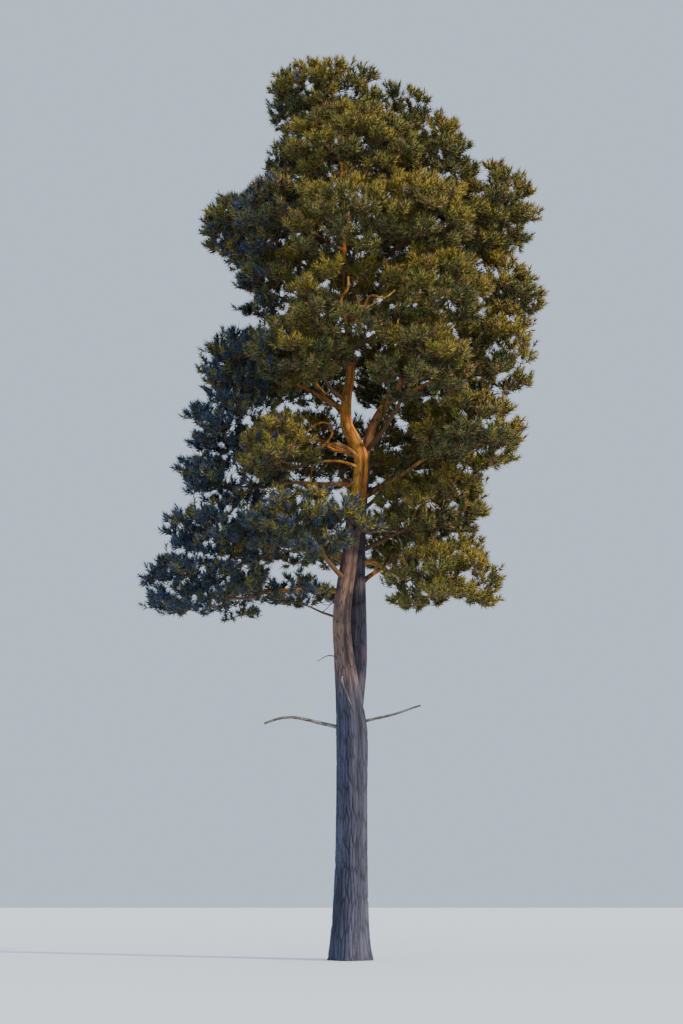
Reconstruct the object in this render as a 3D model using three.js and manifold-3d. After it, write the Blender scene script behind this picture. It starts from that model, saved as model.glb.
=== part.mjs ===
// A tall old Scots pine, rooted in level ground: a trunk that forks low down, boughs, three dead limbs,
// and rounded masses of needles that each grow from one stem.
// Millimetres, +Z up. The origin is the middle of the flat cut under the trunk, and -Y faces the viewer.
import * as THREE from "three";
import { mergeVertices } from "three/addons/utils/BufferGeometryUtils.js";
import Module from "manifold-3d";

const wasm = await Module();
wasm.setup();

// Driving dimensions
const GAP = 0.4; // between neighbouring pieces
const GOLDEN_ANGLE = Math.PI * (3 - Math.sqrt(5));

// Trunk and second stem: stations of x, y, z and radius. The trunk starts below the cut at the ground.
const TRUNK = [
  [0, 0, -300, 376], [0, 0, 0, 374], [0, 0, 450, 370], [10, 0, 1000, 352], [25, 0, 2000, 322],
  [35, 0, 3200, 312], [38, 0, 4400, 322], [-30, -60, 5150, 262], [-130, -120, 6050, 196],
  [-165, -120, 6750, 184], [-95, -100, 7400, 176], [10, -60, 8100, 168], [90, -30, 8800, 162],
  [190, -10, 9400, 158], [235, 0, 10100, 148], [80, 0, 10500, 138], [-70, 0, 10850, 126],
  [-60, 0, 11400, 106], [20, 0, 12000, 92], [-60, 10, 13400, 78], [-150, 0, 15200, 60],
  [-200, 0, 16700, 44], [-260, 0, 17750, 26],
];
const SECOND_STEM = [
  [40, 30, 4350, 150], [110, 110, 5100, 176], [165, 165, 5900, 186], [165, 200, 6800, 180],
  [160, 240, 8000, 160], [205, 290, 8900, 140], [300, 310, 9800, 118], [400, 240, 10600, 100],
  [720, 150, 11250, 84], [1150, 80, 11800, 68],
];
const SIDES = { trunk: 11, secondStem: 8, bough: 5, stem: 4, twig: 3 };
const STEPS = { trunk: 34, secondStem: 12, bough: 6, stem: 4, deadLimb: 6 };
const FLARE = { lobes: 4, turn: 0.8, depth: 0.12, spread: 0.14, height: 330 }; // of the roots at the ground

// Boughs and stems bend by one rule, in shares of their length
const LIMB = { leave: 0.35, arrive: 0.72, wobble: 0.035, tip: 0.52 };
const ENTRY = 0.62; // where a bough stops, as a share of its mass's reach
const STEM = { heart: -0.2, onward: 0.35, rise: 0.15, spacing: 110, within: 0.8 };
const TWIG = { root: 0.55, tip: 0.8, thinnest: 7, sunk: 0.1, joint: 0.8 };
// The least and most that a core reaches, as shares of its mass, and how finely it is cut
const CORE = { dense: [0.56, 0.82], bough: [0.56, 0.82], smallest: 0.2, step: 0.02 };
const FACETS = { dense: 1, bough: 0 };

// Sprays stand on a dome that is flatter underneath, in shares of a mass's reach
const DOME = { under: 0.85, lowest: -0.6, inner: 0.38, spread: 0.16 };
const SPRAY = { longest: 1200, shortest: 240, lean: 1.4, rise: 0.35, follow: 0.2 };
// Rows of a toothed spray: how far along it, half its width and its thickness, in shares of its length
const TEETH = [[0.7, 0.42, 0.06], [0.76, 0.2, 0.05], [1, 0, 0]];
const MARGIN = { space: 0.035, limb: 14, spray: 0.04 };

// Masses: name, centre, reach, the limb that carries it, the height where it leaves that, the radius and arch
// of its own limb, its sprays and its kind. A bough mass hangs from a bough; any other has one long stem.
const MASSES = [
  ["crown_top", [-250, -150, 17990], [1350, 1150, 990], "trunk", 17750, 26, 0, 10, "dense"],
  ["top_left", [-1080, 150, 18060], [820, 1050, 900], "trunk", 16700, 34, 0.07, 7, "dense"],
  ["top_right", [1170, 100, 17760], [1240, 1210, 960], "trunk", 16300, 36, 0.07, 8, "dense"],
  ["top_edge_right", [1950, 0, 16660], [990, 1270, 1140], "trunk", 15500, 42, 0.07, 8, "dense"],
  ["top_back", [140, 1350, 17300], [1750, 1210, 1290], "trunk", 16000, 40, 0.07, 9, "dense"],
  ["upper_left", [-1450, -150, 16590], [1020, 1270, 1060], "trunk", 15700, 40, 0.07, 8, "dense"],
  ["upper_front", [70, -1350, 16230], [1570, 1090, 1180], "trunk", 15300, 44, 0.07, 9, "dense"],
  ["shoulder_right", [3070, 100, 15480], [1060, 1410, 1210], "trunk", 14300, 52, 0.07, 8, "dense"],
  ["wing_left", [-2220, -50, 14940], [1030, 1310, 980], "trunk", 13900, 50, 0.07, 8, "dense"],
  ["upper_mid_left", [-1320, -1250, 14860], [1170, 1140, 1030], "trunk", 14600, 44, 0.07, 8, "dense"],
  ["mid_front", [-70, -2100, 14380], [1330, 1160, 1110], "trunk", 13800, 48, 0.07, 8, "dense"],
  ["mid_front_right", [1320, -1800, 14580], [1310, 1270, 1100], "trunk", 13500, 50, 0.07, 9, "dense"],
  ["mid_right", [2190, -100, 14980], [1380, 1390, 1250], "trunk", 13700, 50, 0.07, 8, "dense"],
  ["mid_back_left", [-1300, 1500, 15460], [1630, 1520, 1250], "trunk", 14100, 48, 0.07, 9, "dense"],
  ["mid_back_right", [1590, 1850, 15650], [1700, 1520, 1270], "trunk", 13900, 50, 0.07, 9, "dense"],
  ["waist_left", [-1360, -450, 13580], [1190, 1390, 940], "trunk", 12700, 48, 0.07, 8, "dense"],
  ["waist_front", [60, -2050, 12720], [1430, 1190, 1040], "trunk", 12100, 52, 0.07, 9, "dense"],
  ["waist_front_right", [1720, -1650, 13060], [1200, 1360, 1020], "trunk", 12400, 50, 0.07, 8, "dense"],
  ["waist_right", [3080, 0, 13460], [1100, 1410, 1080], "second_stem", 11800, 68, 0, 8, "dense"],
  ["waist_back", [370, 2250, 13850], [1890, 1490, 1420], "trunk", 12300, 54, 0.07, 9, "dense"],
  ["lower_right", [2750, -500, 11950], [1240, 1380, 1070], "second_stem", 11300, 62, 0.1, 9, "bough"],
  ["arm_left", [-2090, -50, 11960], [1210, 1310, 1000], "trunk", 11150, 60, 0.05, 8, "bough"],
  ["inner_left", [-980, -1450, 11950], [1200, 1210, 890], "trunk", 11300, 48, 0.07, 8, "dense"],
  ["front_right", [1400, -1800, 11570], [1180, 1280, 1000], "second_stem", 10300, 54, 0.07, 8, "dense"],
  ["back_left", [-1350, 1850, 12400], [1600, 1380, 1120], "trunk", 11000, 60, 0.07, 9, "bough"],
  ["back_right", [1700, 1950, 12300], [1720, 1400, 1180], "second_stem", 10500, 60, 0.07, 9, "bough"],
  ["shelf_left_high", [-2330, -100, 10710], [1280, 1300, 930], "trunk", 10100, 50, 0.12, 8, "bough"],
  ["shelf_left_mid", [-2430, 0, 9680], [1270, 1300, 940], "trunk", 9500, 52, 0.07, 8, "bough"],
  ["sunlit_left", [-1400, -1450, 9880], [880, 1050, 850], "trunk", 10000, 52, 0.34, 8, "bough"],
  ["lobe_right", [2460, -900, 10310], [1210, 1360, 1020], "second_stem", 9300, 58, 0.05, 9, "bough"],
  ["inner_right", [1350, 450, 10550], [1120, 1280, 1040], "second_stem", 9000, 44, 0.07, 7, "dense"],
  ["back_mid", [-650, 2300, 10600], [1740, 1330, 1150], "trunk", 9300, 58, 0.07, 8, "bough"],
  ["shelf_left_low", [-2650, -100, 8550], [1300, 1240, 860], "trunk", 7950, 62, 0.16, 8, "bough"],
  ["shelf_front", [-760, -1450, 8330], [1480, 1120, 900], "trunk", 7500, 56, 0.07, 8, "dense"],
  ["tail_left", [-2900, 200, 7410], [1490, 1270, 1060], "trunk", 7250, 64, 0.1, 10, "bough"],
  ["tuft_left", [-960, 150, 7180], [960, 900, 620], "trunk", 6700, 30, 0.07, 5, "open"],
  ["shelf_right", [1620, 150, 9020], [1390, 1310, 920], "second_stem", 8150, 50, 0.07, 8, "dense"],
  ["skirt_right", [1930, -350, 7370], [1380, 1310, 900], "second_stem", 7900, 66, 0.2, 9, "bough"],
  ["skirt_back_left", [-1280, 2000, 8680], [1600, 1260, 970], "trunk", 7900, 60, 0.06, 8, "bough"],
  ["skirt_back_right", [1430, 2050, 8580], [1600, 1260, 970], "second_stem", 7400, 60, 0.06, 8, "bough"],
  ["back_mid_right", [1850, 2250, 10450], [1450, 1300, 1040], "second_stem", 9400, 54, 0.07, 8, "dense"],
];

// Dead limbs: name, the limb that carries it, the height where it leaves that, its end, radius and arch
const DEAD_LIMBS = [
  ["dead_limb_left", "trunk", 4450, [-1720, -150, 4600], 46, 0.14],
  ["dead_limb_right", "second_stem", 4600, [1430, 50, 4980], 36, 0.04],
  ["dead_snag_right", "second_stem", 8500, [1050, -250, 8480], 32, 0.1],
];
const DEAD_SEED = 101;

const vector = (x, y, z) => new THREE.Vector3(x, y, z);
const range = (n) => Array.from({ length: n }, (_, i) => i);
const mix = (a, b, t) => a + (b - a) * t;

// A small seeded generator, so that every run grows the same tree
function seeded(seed) {
  let state = Math.imul(seed, 2654435761) >>> 0;
  return () => {
    state = (state + 0x6d2b79f5) >>> 0;
    let t = state;
    t = Math.imul(t ^ (t >>> 15), t | 1);
    t ^= t + Math.imul(t ^ (t >>> 7), t | 61);
    return ((t ^ (t >>> 14)) >>> 0) / 4294967296;
  };
}

// Solids
// A shape with every corner once
function joined(geometry) {
  geometry.deleteAttribute("normal");
  geometry.deleteAttribute("uv");
  return mergeVertices(geometry, 1e-3);
}

function solid(geometry) {
  const merged = joined(geometry);
  return new wasm.Manifold(
    new wasm.Mesh({
      numProp: 3,
      vertProperties: new Float32Array(merged.attributes.position.array),
      triVerts: new Uint32Array(merged.index.array),
    }),
  );
}

// The one body that is kept when a cut leaves scraps or a join seals a hollow
const largest = (manifold) => manifold.decompose().sort((a, b) => b.volume() - a.volume())[0];

// A limb's stations with the two directions across it. Swell widens it and makes it longer at both ends.
function framed(stations, swell) {
  const last = stations.length - 1;
  let side = null;
  return stations.map(({ at, radius }, i) => {
    const along = stations[Math.min(last, i + 1)].at.clone().sub(stations[Math.max(0, i - 1)].at).normalize();
    side ??= Math.abs(along.x) > 0.8 ? vector(0, 1, 0) : vector(1, 0, 0);
    side = side.clone().addScaledVector(along, -side.dot(along)).normalize();
    const past = i === 0 ? -swell : i === last ? swell : 0;
    const across = side.clone().cross(along);
    return { at: at.clone().addScaledVector(along, past), side, across, radius: radius + swell };
  });
}

// A cylinder bent along a limb's stations and tapered with them
function limbSolid(stations, sides, swell = 0, lobes = () => 1) {
  const rows = framed(stations, swell);
  const geometry = new THREE.CylinderGeometry(1, 1, 1, sides, rows.length - 1);
  const place = geometry.attributes.position;
  for (const i of range(place.count)) {
    const [x, z] = [place.getX(i), place.getZ(i)];
    const row = rows[Math.round((place.getY(i) + 0.5) * (rows.length - 1))];
    const r = row.radius * lobes(Math.atan2(z, x), row.at.z);
    const at = row.at.clone().addScaledVector(row.side, r * x).addScaledVector(row.across, r * z);
    place.setXYZ(i, at.x, at.y, at.z);
  }
  return solid(geometry);
}

// A twig and the toothed spray at its end, as one cone drawn out into rows. The first row is sunk in what
// carries the twig. Each row is a flat triangle that lies across the spray.
function spraySolid({ from, at, along, across, length, radius }) {
  const up = across.clone().cross(along);
  const back = from.clone().sub(at).setLength(radius * TWIG.sunk).add(from);
  const rows = [
    { at: back, wide: radius, high: radius },
    { at, wide: radius * TWIG.tip, high: radius * TWIG.tip },
    ...TEETH.map(([s, wide, high]) => ({
      at: at.clone().addScaledVector(along, s * length), wide: wide * length, high: high * length,
    })),
  ];
  const geometry = new THREE.CylinderGeometry(0, 1, 1, SIDES.twig, rows.length - 1);
  const place = geometry.attributes.position;
  for (const i of range(place.count)) {
    const [x, z] = [place.getX(i), place.getZ(i)];
    const row = rows[Math.round((place.getY(i) + 0.5) * (rows.length - 1))];
    const size = Math.hypot(x, z) || 1;
    const p = row.at.clone().addScaledVector(across, (row.wide * x) / size);
    p.addScaledVector(up, (row.high * z) / size);
    place.setXYZ(i, p.x, p.y, p.z);
  }
  return solid(geometry);
}

// Limbs
// A smooth line of steps through stations of x, y, z and radius
function smoothed(stations, steps) {
  const last = stations.length - 1;
  return range(steps + 1).map((i) => {
    const s = (i / steps) * last;
    const k = Math.min(Math.floor(s), last - 1);
    const t = s - k;
    const [a, b, c, d] = [k - 1, k, k + 1, k + 2].map((n) => stations[Math.max(0, Math.min(last, n))]);
    const [x, y, z] = [0, 1, 2].map((n) => {
      const bend = 2 * a[n] - 5 * b[n] + 4 * c[n] - d[n];
      const twist = 3 * b[n] - a[n] - 3 * c[n] + d[n];
      return 0.5 * (2 * b[n] + (c[n] - a[n]) * t + bend * t * t + twist * t * t * t);
    });
    return { at: vector(x, y, z), radius: mix(b[3], c[3], t) };
  });
}

// The middle of a line at a height, or its tip where it ends lower
function atHeight(line, z) {
  const k = line.findIndex((station, i) => i > 0 && station.at.z >= z);
  if (k < 0) return line[line.length - 1].at.clone();
  const [low, high] = [line[k - 1].at, line[k].at];
  return low.clone().lerp(high, (z - low.z) / (high.z - low.z));
}

// A limb leaves level, arches, wobbles a little and tapers
function limbLine(start, end, radius, arch, steps, seed) {
  const draw = seeded(seed);
  const span = end.clone().sub(start);
  const length = span.length();
  const leave = start.clone().lerp(end, LIMB.leave);
  leave.z = start.z + 0.15 * span.z + arch * length;
  const arrive = start.clone().lerp(end, LIMB.arrive);
  arrive.z = start.z + 0.62 * span.z + arch * length;
  const curve = new THREE.CubicBezierCurve3(start, leave, arrive, end);
  const side = vector(-span.y, span.x, 0).normalize();
  const [phase, sway, rise] = [draw() * 2 * Math.PI, 4 + 3 * draw(), 3 + 3 * draw()];
  return range(steps + 1).map((i) => {
    const t = i / steps;
    const swing = Math.sin(Math.PI * t) * LIMB.wobble * length;
    const at = curve.getPoint(t).addScaledVector(side, swing * Math.sin(phase + sway * t));
    at.z += 0.6 * swing * Math.sin(phase + rise * t);
    return { at, radius: radius * mix(1, LIMB.tip, t) };
  });
}

function flare(angle, z) {
  const swelling = FLARE.spread + FLARE.depth * Math.sin(FLARE.lobes * angle + FLARE.turn);
  return 1 + Math.exp(-Math.max(0, z) / FLARE.height) * swelling;
}

const carriers = {
  trunk: smoothed(TRUNK, STEPS.trunk),
  second_stem: smoothed(SECOND_STEM, STEPS.secondStem),
};
const limbs = [
  { owner: "trunk", line: carriers.trunk, sides: SIDES.trunk, lobes: flare },
  { owner: "second_stem", line: carriers.second_stem, sides: SIDES.secondStem },
];

// A mass's limb reaches its heart. On a bough it is parted where it enters the mass.
function plantMass([name, at, reach, carrier, from, radius, arch, sprays, kind], index) {
  const centre = vector(...at);
  const seed = index + 1;
  const start = atHeight(carriers[carrier], from);
  const heart = centre.clone();
  heart.z += STEM.heart * reach[2];
  const inward = start.clone().sub(heart).setZ(0);
  const edge = Math.hypot(inward.x / reach[0], inward.y / reach[1]);
  const outward = inward.clone().setLength(-STEM.onward * reach[0]);
  const end = heart.clone().add(outward);
  end.z += STEM.rise * reach[2];
  const mass = { name, index, centre, reach, sprays, kind };
  let stem = limbLine(start, heart, radius, arch, STEPS.stem, seed);
  if (kind === "bough") {
    const entry = heart.clone().addScaledVector(inward, ENTRY / edge);
    const bough = limbLine(start, entry, radius, arch, STEPS.bough, seed);
    const [before, tip] = bough.slice(-2);
    const onward = tip.at.clone().sub(before.at).setLength(90).add(tip.at);
    stem = [tip, { at: onward, radius: 0.94 * tip.radius }, { at: heart, radius: 0.7 * tip.radius }];
    limbs.push({ owner: name + "_bough", line: bough, sides: SIDES.bough });
  }
  mass.stem = [...stem, { at: end, radius: 0.6 * stem[stem.length - 1].radius }];
  limbs.push({ owner: name, line: mass.stem, sides: SIDES.stem });
  return mass;
}

const masses = MASSES.map(plantMass);
for (const [i, [owner, carrier, from, to, radius, arch]] of DEAD_LIMBS.entries()) {
  const start = atHeight(carriers[carrier], from);
  const line = limbLine(start, vector(...to), radius, arch, STEPS.deadLimb, DEAD_SEED + i);
  limbs.push({ owner, line, sides: SIDES.bough });
}

// Space in the crown
// How far out in a mass's dome a point lies, from 0 at the centre to 1 at the edge
function depthIn({ centre, reach }, p) {
  const up = (p.z - centre.z) / (p.z > centre.z ? reach[2] : reach[2] * DOME.under);
  return Math.hypot((p.x - centre.x) / reach[0], (p.y - centre.y) / reach[1], up);
}

function inOwnSpace(mass, p) {
  const own = depthIn(mass, p);
  return own <= 1 && masses.every((other) => other === mass || depthIn(other, p) > own + MARGIN.space);
}

const stretches = limbs.flatMap(({ owner, line }) =>
  range(line.length - 1).map((i) => {
    const [a, b] = [line[i], line[i + 1]];
    return { owner, at: a.at, span: b.at.clone().sub(a.at), radius: a.radius, taper: b.radius - a.radius };
  }),
);

function clearOfLimbs(p, margin, owner) {
  return stretches.every((s) => {
    if (s.owner === owner) return true;
    const away = p.clone().sub(s.at);
    const t = Math.max(0, Math.min(1, away.dot(s.span) / s.span.lengthSq()));
    return away.addScaledVector(s.span, -t).length() > s.radius + s.taper * t + margin;
  });
}

// The rule that a mass grows by
// Points are spread inside its dome by the golden angle. Each gets a twig from the nearest joint that can
// reach it inside the mass's own space and clear of other limbs, and the twig ends in a spray that points
// out and up.
function grow(mass) {
  const draw = seeded(10 * mass.index + 7);
  const [a, b, c] = mass.reach;
  const joints = jointsAlong(mass);
  const sprays = [];
  for (const i of range(mass.sprays)) {
    const height = 1 - ((i + 0.5) / mass.sprays) * (1 - DOME.lowest);
    const turn = i * GOLDEN_ANGLE + 0.5 * draw();
    const ring = Math.sqrt(1 - height * height);
    const under = height < 0 ? DOME.under : 1;
    const out = vector(a * ring * Math.cos(turn), b * ring * Math.sin(turn), c * height * under);
    const share = DOME.inner + DOME.spread * draw();
    const twist = Math.PI * draw();
    const lean = SPRAY.lean * (draw() - 0.5);
    const aside = vector(-lean * Math.sin(turn), lean * Math.cos(turn), SPRAY.rise);
    const aim = out.clone().normalize().add(aside);
    for (const shrink of [1, 0.8, 0.6]) {
      const at = mass.centre.clone().addScaledVector(out, share * shrink);
      const joint = nearestJoint(mass, joints, at);
      const spray = joint && fitSpray(mass, joint, at, aim, twist, sprays);
      if (!spray) continue;
      const next = { at: joint.at.clone().lerp(at, TWIG.joint), radius: spray.radius * TWIG.tip };
      joints.splice(joints.indexOf(joint), 1, next);
      sprays.push(spray);
      break;
    }
  }
  return sprays;
}

// Points along the part of a stem that lies well inside its mass
function jointsAlong(mass) {
  return mass.stem.slice(1).flatMap((b, i) => {
    const a = mass.stem[i];
    const count = Math.ceil(a.at.distanceTo(b.at) / STEM.spacing);
    const joints = range(count).map((k) => {
      const t = (k + 1) / count;
      return { at: a.at.clone().lerp(b.at, t), radius: mix(a.radius, b.radius, t) };
    });
    return joints.filter(({ at }) => depthIn(mass, at) < STEM.within);
  });
}

function nearestJoint(mass, joints, at) {
  const near = joints.toSorted((p, q) => p.at.distanceTo(at) - q.at.distanceTo(at)).slice(0, 8);
  return near.find((joint) =>
    [0.35, 0.55, 0.75, 1].every((t) => {
      const p = joint.at.clone().lerp(at, t);
      return inOwnSpace(mass, p) && clearOfLimbs(p, MARGIN.limb + joint.radius, mass.name);
    }),
  );
}

// The longest spray that stays in the mass's space, clear of the limbs and off the sprays before it
function fitSpray(mass, joint, at, aim, twist, sprays) {
  const onward = at.clone().sub(joint.at).normalize().multiplyScalar(SPRAY.follow);
  const along = aim.clone().add(onward).normalize();
  const level = vector(-along.y, along.x, 0).normalize();
  const steep = along.clone().cross(level);
  const radius = Math.max(TWIG.thinnest, joint.radius * TWIG.root);
  for (let length = SPRAY.longest; length >= SPRAY.shortest; length *= 0.94) {
    for (const turn of [0, 1, 2]) {
      const angle = twist + (turn * Math.PI) / 3;
      const across = level.clone().multiplyScalar(Math.cos(angle)).addScaledVector(steep, Math.sin(angle));
      const spray = { from: joint.at, at, along, across, length, radius };
      const meets = sprays.some((other) => pierces(spray, other) || pierces(other, spray));
      if (!meets && fits(mass, spray)) return spray;
    }
  }
  return null;
}

function fits(mass, { at, along, across, length }) {
  return TEETH.every(([s, wide]) =>
    [-1, 0, 1].every((edge) => {
      const p = at.clone().addScaledVector(along, s * length).addScaledVector(across, edge * wide * length);
      return inOwnSpace(mass, p) && clearOfLimbs(p, MARGIN.limb + 0.04 * length, mass.name);
    }),
  );
}

// Whether the twig or an edge of one spray passes through the outline of another
function pierces(one, other) {
  const [[widest, wide], [notch, narrow]] = TEETH;
  const spot = (s, edge) =>
    one.at.clone().addScaledVector(one.along, s * one.length).addScaledVector(one.across, edge * one.length);
  const twig = one.from.clone().lerp(one.at, 0.3);
  const corners = [twig, one.at, spot(widest, wide), spot(1, 0), spot(widest, -wide)];
  const up = other.along.clone().cross(other.across);
  const places = corners.map((p) => {
    const away = p.clone().sub(other.at).divideScalar(other.length);
    return [away.dot(other.along), away.dot(other.across), away.dot(up)];
  });
  const edges = [[0, 1], [1, 2], [2, 3], [3, 4], [4, 1]];
  return edges.some(([i, j]) => {
    const [p, q] = [places[i], places[j]];
    if (p[2] * q[2] > 0) return false;
    const t = p[2] / (p[2] - q[2] || 1);
    const [s, a] = [mix(p[0], q[0], t), mix(p[1], q[1], t)];
    const half = s < notch ? (wide * s) / widest : (narrow * (1 - s)) / (1 - notch);
    return s > -MARGIN.spray && s < 1 + MARGIN.spray && Math.abs(a) < half + MARGIN.spray;
  });
}

// A smaller, tufted core for a dense mass. Its corners stand out by turns near and far, and each is drawn in
// until it lies in the mass's own space.
function coreSolid(mass) {
  const draw = seeded(10 * mass.index + 9);
  const [least, most] = CORE[mass.kind];
  const geometry = joined(new THREE.IcosahedronGeometry(1, FACETS[mass.kind]));
  const place = geometry.attributes.position;
  for (const i of range(place.count)) {
    const corner = vector(place.getX(i), place.getY(i), place.getZ(i)).multiply(vector(...mass.reach));
    if (corner.z < 0) corner.z *= DOME.under;
    const spot = (share) => mass.centre.clone().addScaledVector(corner, share);
    let share = mix(least, most, draw());
    while (share > CORE.smallest && !inOwnSpace(mass, spot(share))) share -= CORE.step;
    place.setXYZ(i, ...spot(share).toArray());
  }
  return solid(geometry);
}

function massSolid(mass) {
  const pieces = grow(mass).map(spraySolid);
  if (CORE[mass.kind]) pieces.push(coreSolid(mass));
  const whole = pieces.reduce((all, piece) => all.add(piece), limbSolid(mass.stem, SIDES.stem));
  return cutClear(whole, mass.name, limbs);
}

// Every limb a little swollen, to cut its neighbours clear of it
for (const limb of limbs) {
  const swell = GAP / Math.cos(Math.PI / limb.sides);
  limb.cutter = limbSolid(limb.line, limb.sides, swell, limb.lobes);
}

function cutClear(made, name, others) {
  const near = others.filter(({ owner }) => owner !== name);
  return largest(near.reduce((rest, { cutter }) => rest.subtract(cutter), made));
}

// Materials
const finish = (color, roughness) => new THREE.MeshStandardMaterial({ color, roughness, metalness: 0 });
const greyBark = finish("#6e5f52", 0.95);
const orangeBark = finish("#a8622f", 0.9);
const deadWood = finish("#8f877c", 0.95);
const needles = finish("#42571f", 0.8);

// The tree
const pine = new THREE.Group();

function add(name, made, material) {
  const { vertProperties, triVerts } = made.getMesh();
  const geometry = new THREE.BufferGeometry()
    .setAttribute("position", new THREE.BufferAttribute(new Float32Array(vertProperties), 3))
    .setIndex(new THREE.BufferAttribute(new Uint32Array(triVerts), 1));
  const mesh = new THREE.Mesh(geometry, material);
  mesh.name = name;
  pine.add(mesh);
}

const belowGround = solid(new THREE.BoxGeometry(2000, 2000, 1000).translate(0, 0, -500));
const bare = (limb) => limbSolid(limb.line, limb.sides, 0, limb.lobes);
const [trunk, secondStem, ...others] = limbs;
add("trunk", bare(trunk).subtract(belowGround), greyBark);
add("second_stem", cutClear(bare(secondStem), "second_stem", [trunk]), greyBark);
for (const limb of others) {
  if (masses.some((mass) => mass.name === limb.owner)) continue;
  const material = limb.owner.startsWith("dead") ? deadWood : orangeBark;
  add(limb.owner, cutClear(bare(limb), limb.owner, [trunk, secondStem]), material);
}
for (const mass of masses) add(mass.name, massSolid(mass), needles);

export default pine;
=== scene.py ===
"""A tall old Scots pine: bark in relief, boughs, twigs and sprays of needles.

Metres, +Z up, -Y towards the viewer. The limbs, the masses' domes and the rule that they grow by repeat the
part's source, and the rule goes on from there to finer twigs.
"""

import math
from types import SimpleNamespace as Values

import bpy
import numpy as np
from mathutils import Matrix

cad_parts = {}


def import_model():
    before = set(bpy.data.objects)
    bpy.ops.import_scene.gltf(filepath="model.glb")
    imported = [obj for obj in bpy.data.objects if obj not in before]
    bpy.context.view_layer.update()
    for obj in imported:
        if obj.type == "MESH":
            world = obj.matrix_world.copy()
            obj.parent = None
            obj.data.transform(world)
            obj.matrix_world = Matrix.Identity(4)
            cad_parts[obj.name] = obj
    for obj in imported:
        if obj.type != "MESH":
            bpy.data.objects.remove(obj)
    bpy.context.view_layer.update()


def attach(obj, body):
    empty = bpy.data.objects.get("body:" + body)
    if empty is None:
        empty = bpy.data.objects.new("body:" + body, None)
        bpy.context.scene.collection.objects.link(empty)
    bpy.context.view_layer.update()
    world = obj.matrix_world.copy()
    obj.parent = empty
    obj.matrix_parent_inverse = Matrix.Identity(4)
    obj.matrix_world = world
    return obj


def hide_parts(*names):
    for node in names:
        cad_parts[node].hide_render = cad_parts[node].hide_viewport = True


GOLDEN_ANGLE = math.pi * (3 - math.sqrt(5))
TURN = 6.28  # a full turn, near enough for a random one
ALONG_AXIS = 0.8  # the share of an axis from which a way runs along it

# Trunk and second stem: stations of x, y, z and radius. The trunk starts below the cut at the ground.
TRUNK = [
    (0, 0, -0.3, 0.376), (0, 0, 0, 0.374), (0, 0, 0.45, 0.37), (0.01, 0, 1, 0.352),
    (0.025, 0, 2, 0.322), (0.035, 0, 3.2, 0.312), (0.038, 0, 4.4, 0.322), (-0.03, -0.06, 5.15, 0.262),
    (-0.13, -0.12, 6.05, 0.196), (-0.165, -0.12, 6.75, 0.184), (-0.095, -0.1, 7.4, 0.176),
    (0.01, -0.06, 8.1, 0.168), (0.09, -0.03, 8.8, 0.162), (0.19, -0.01, 9.4, 0.158),
    (0.235, 0, 10.1, 0.148), (0.08, 0, 10.5, 0.138), (-0.07, 0, 10.85, 0.126), (-0.06, 0, 11.4, 0.106),
    (0.02, 0, 12, 0.092), (-0.06, 0.01, 13.4, 0.078), (-0.15, 0, 15.2, 0.06), (-0.2, 0, 16.7, 0.044),
    (-0.26, 0, 17.75, 0.026),
]
SECOND_STEM = [
    (0.04, 0.03, 4.35, 0.15), (0.11, 0.11, 5.1, 0.176), (0.165, 0.165, 5.9, 0.186),
    (0.165, 0.2, 6.8, 0.18), (0.16, 0.24, 8, 0.16), (0.205, 0.29, 8.9, 0.14), (0.3, 0.31, 9.8, 0.118),
    (0.4, 0.24, 10.6, 0.1), (0.72, 0.15, 11.25, 0.084), (1.15, 0.08, 11.8, 0.068),
]
FLARE = Values(lobes=4, turn=0.8, depth=0.12, spread=0.14, height=0.33)
# Steps along the limbs that foliage keeps clear of, and along their finer skins
STEPS = Values(trunk=34, second_stem=12, bough=6, stem=4, dead=6)
FINE_STEPS = Values(trunk=1760, second_stem=900, bough=56, bare=60, dead=60)
# How far apart a skin's rings are at the ground, and how much more for each metre up
RING_SPACING = Values(trunk=(0.022, 0.0035), second_stem=(0.032, 0))

# Boughs and stems bend by one rule, in shares of their length
LIMB = Values(leave=0.35, arrive=0.72, low=0.15, high=0.62, wobble=0.035, lift=0.6, tip=0.52)
ENTRY = 0.62  # where a bough stops, as a share of its mass's reach
STEM = Values(heart=-0.2, onward=0.35, rise=0.15, lead=0.09, spacing=0.11, within=0.8)
# How much a stem thins past its bough, at its mass's heart and past that
STEM_RADII = (0.94, 0.7, 0.6)
# A mass's dome is flatter underneath, and a margin parts its space from the next
DOME = Values(under=0.85, margin=0.035)
DEAD_SEED = 101
# Seeds of the bark of limbs, of each colour's needles and of each mass
SEEDS = Values(trunk=1, second_stem=2, bough=10, dead=40, bare=60, needles=500, mass=1000)

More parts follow.
